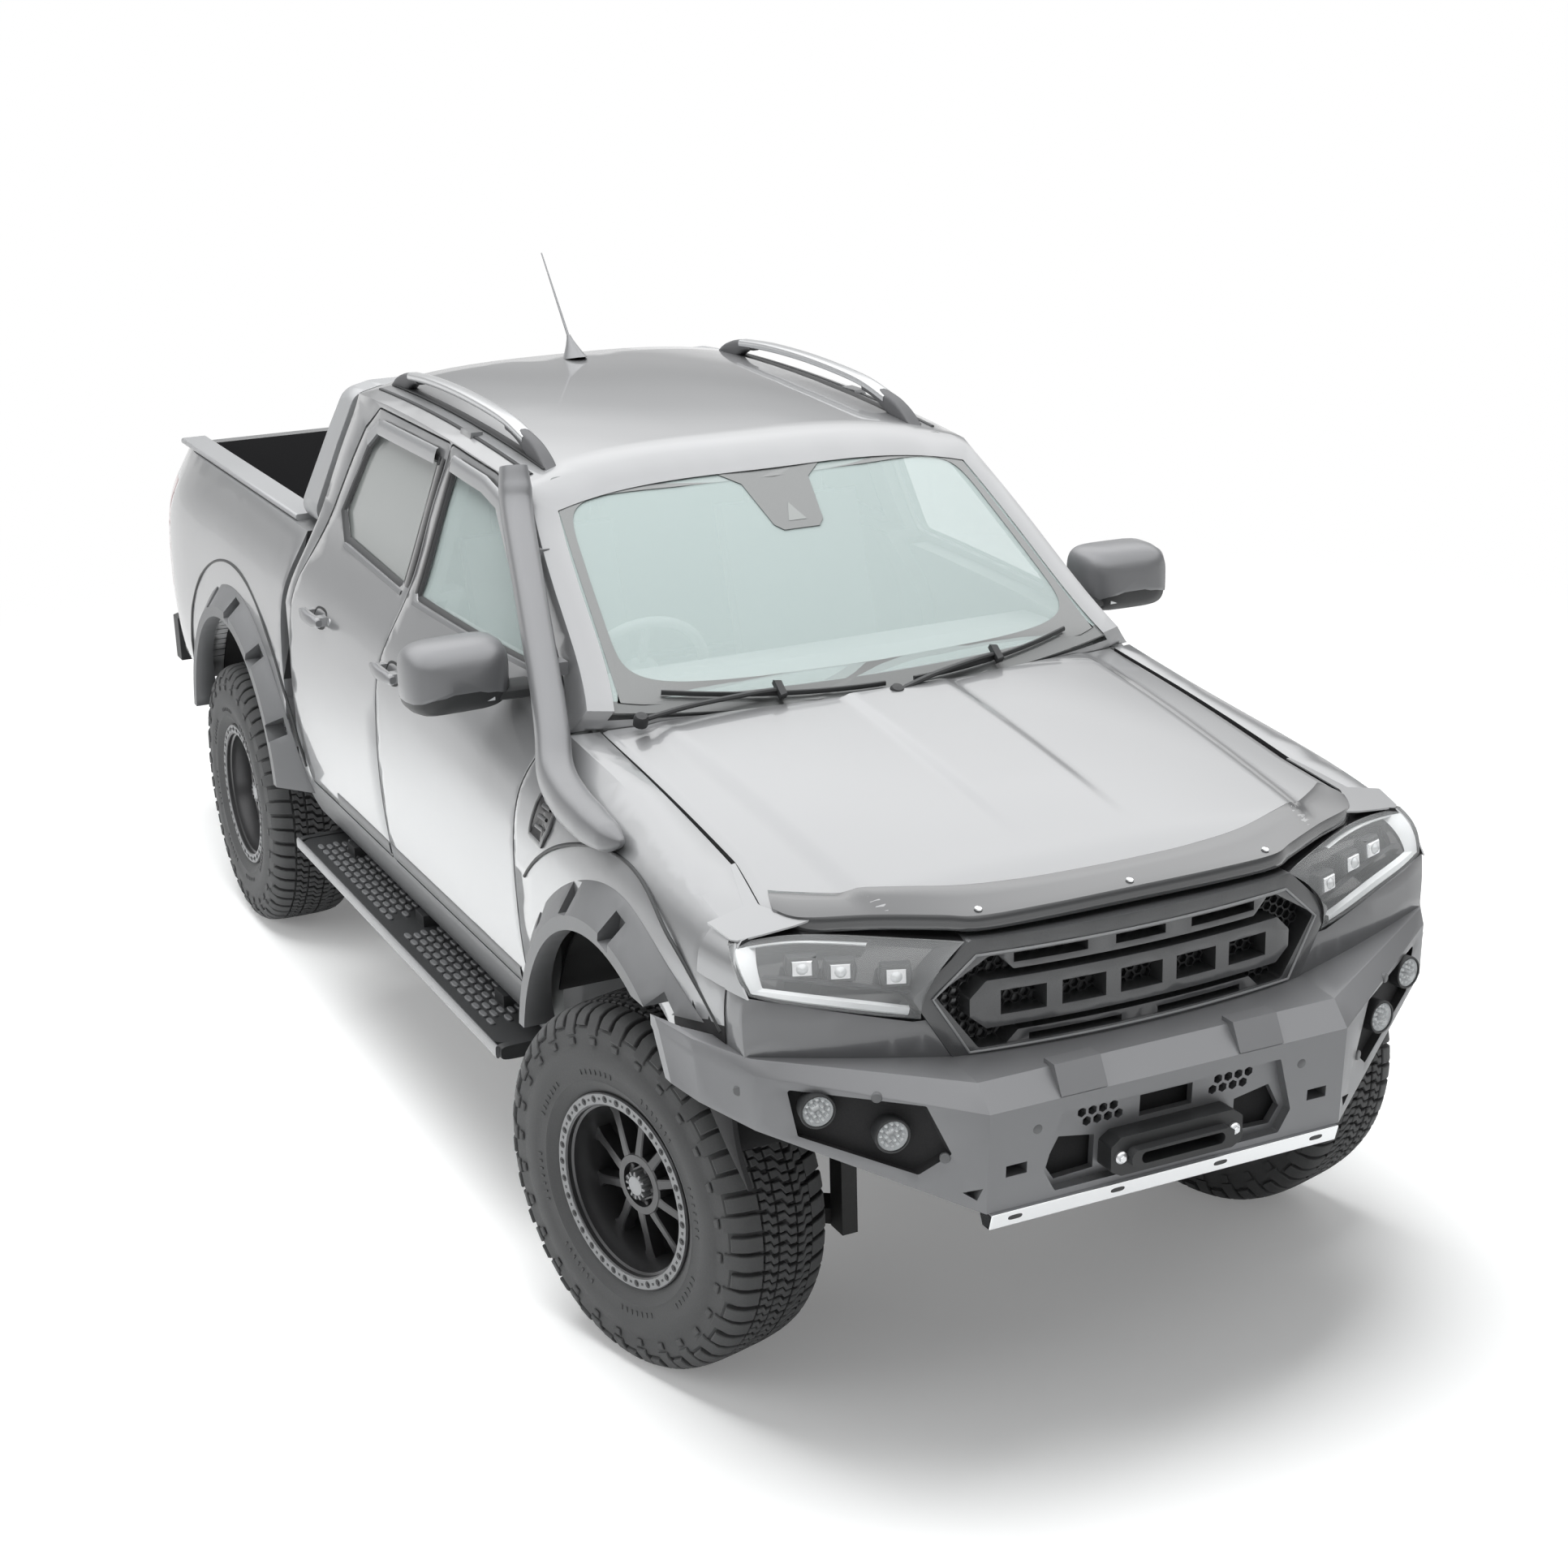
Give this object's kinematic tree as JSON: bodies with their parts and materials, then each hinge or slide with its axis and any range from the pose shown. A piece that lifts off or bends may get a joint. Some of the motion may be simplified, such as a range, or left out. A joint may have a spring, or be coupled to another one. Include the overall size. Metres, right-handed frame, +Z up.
{
  "type": "lifted off-road double-cab pickup",
  "caption": "Lifted four-wheel-drive pickup with winch bumper, snorkel, wide flares, opening doors, bonnet and tailgate, steering and rolling wheels.",
  "frame": {"origin": "on the ground under the middle of the vehicle's length and width", "axes": "+X forward along the vehicle, +Y to its left, +Z up"},
  "size_m": [5.405, 2.1668, 2.2209],
  "materials": {
    "body_paint": "metallic grey, clear coated",
    "window_glass": "pale green tint",
    "interior_black": "grained",
    "seat_cloth": "woven",
    "mirror_shell": "satin",
    "lamp_lens": "clear",
    "gloss_black": "gloss",
    "dark_acrylic": "dark tinted",
    "bumper_steel": "satin powder coat",
    "bright_strip": "bright",
    "satin_black": "satin",
    "spot_lens": "clear",
    "snorkel_plastic": "satin",
    "flare_plastic": "satin",
    "liner_plastic": "matt",
    "tail_lens": "dark red",
    "silver_trim": "satin silver",
    "rail_silver": "satin",
    "frame_black": "chassis black",
    "cast_block": "cast",
    "rim_black": "satin black",
    "tyre": "matt"
  },
  "bodies": {
    "root": {"cab_shell": "body_paint", "cab_glass": "window_glass", "dashboard": "interior_black", "steering_wheel": "interior_black", "seats": "seat_cloth", "front_wings": "body_paint", "front_panels": "body_paint", "headlamps": "lamp_lens", "grille": "gloss_black", "front_bumper": "bumper_steel", "bumper_strip": "bright_strip", "fairlead": "satin_black", "spot_lamps": "spot_lens", "wipers": "satin_black", "snorkel": "snorkel_plastic", "wheel_flares": "flare_plastic", "wheel_liners": "liner_plastic", "load_bed": "body_paint", "tail_lamps": "tail_lens", "bed_caps": "silver_trim", "sports_bar": "silver_trim", "rear_bumper": "satin_black", "roof_rails": "rail_silver", "antenna": "satin_black", "chassis_frame": "frame_black", "engine": "cast_block", "driveline": "cast_block", "rear_axle": "frame_black", "leaf_springs": "frame_black", "front_arms": "frame_black", "side_steps": "satin_black"},
    "door_front_left": {"door_front_left": "body_paint", "door_glass_front_left": "window_glass", "mirror_left": "mirror_shell"},
    "door_front_right": {"door_front_right": "body_paint", "door_glass_front_right": "window_glass", "mirror_right": "mirror_shell"},
    "door_rear_left": {"door_rear_left": "body_paint", "door_glass_rear_left": "window_glass"},
    "door_rear_right": {"door_rear_right": "body_paint", "door_glass_rear_right": "window_glass"},
    "bonnet": {"bonnet": "body_paint", "bonnet_guard": "dark_acrylic"},
    "tailgate": {"tailgate": "body_paint"},
    "steer_left": {"knuckle_left": "cast_block"},
    "steer_right": {"knuckle_right": "cast_block"},
    "wheel_front_left": {"rim_fl": "rim_black", "tyre_fl": "tyre"},
    "wheel_front_right": {"rim_fr": "rim_black", "tyre_fr": "tyre"},
    "wheel_rear_left": {"rim_rl": "rim_black", "tyre_rl": "tyre"},
    "wheel_rear_right": {"rim_rr": "rim_black", "tyre_rr": "tyre"}
  },
  "joints": [
    {"name": "door_front_left_swing", "type": "hinge", "parent": "root", "child": "door_front_left", "pos_m": [1.2275, 0.915, 0.95], "axis": [0, 0.0872, -0.9962], "range_deg": [0, 66]},
    {"name": "door_front_right_swing", "type": "hinge", "parent": "root", "child": "door_front_right", "pos_m": [1.2275, -0.915, 0.95], "axis": [0, 0.0872, 0.9962], "range_deg": [0, 66]},
    {"name": "door_rear_left_swing", "type": "hinge", "parent": "root", "child": "door_rear_left", "pos_m": [0.1365, 0.915, 0.95], "axis": [0, 0.0872, -0.9962], "range_deg": [0, 62]},
    {"name": "door_rear_right_swing", "type": "hinge", "parent": "root", "child": "door_rear_right", "pos_m": [0.1365, -0.915, 0.95], "axis": [0, 0.0872, 0.9962], "range_deg": [0, 62]},
    {"name": "bonnet_lift", "type": "hinge", "parent": "root", "child": "bonnet", "pos_m": [1.2825, 0, 1.378], "axis": [0, -1, 0], "range_deg": [0, 50]},
    {"name": "tailgate_drop", "type": "hinge", "parent": "root", "child": "tailgate", "pos_m": [-2.4745, 0, 0.874], "axis": [0, -1, 0], "range_deg": [0, 88]},
    {"name": "steer_left_turn", "type": "hinge", "parent": "root", "child": "steer_left", "pos_m": [1.7525, 0.69, 0.437], "axis": [0, 0, 1], "range_deg": [-47, 17]},
    {"name": "steer_right_turn", "type": "hinge", "parent": "root", "child": "steer_right", "pos_m": [1.7525, -0.69, 0.437], "axis": [0, 0, 1], "range_deg": [-47, 17]},
    {"name": "wheel_front_left_spin", "type": "hinge", "parent": "steer_left", "child": "wheel_front_left", "pos_m": [1.72077, 0.80365, 0.437], "axis": [-0.2689, 0.9632, 0], "continuous": true},
    {"name": "wheel_front_right_spin", "type": "hinge", "parent": "steer_right", "child": "wheel_front_right", "pos_m": [1.78423, -0.80365, 0.437], "axis": [-0.2689, 0.9632, 0], "continuous": true},
    {"name": "wheel_rear_left_spin", "type": "hinge", "parent": "root", "child": "wheel_rear_left", "pos_m": [-1.4675, 0.808, 0.437], "axis": [0, 1, 0], "continuous": true},
    {"name": "wheel_rear_right_spin", "type": "hinge", "parent": "root", "child": "wheel_rear_right", "pos_m": [-1.4675, -0.808, 0.437], "axis": [0, 1, 0], "continuous": true}
  ],
  "couplings": [
    {"joint": "steer_right_turn", "follows": "steer_left_turn", "ratio": 1}
  ]
}
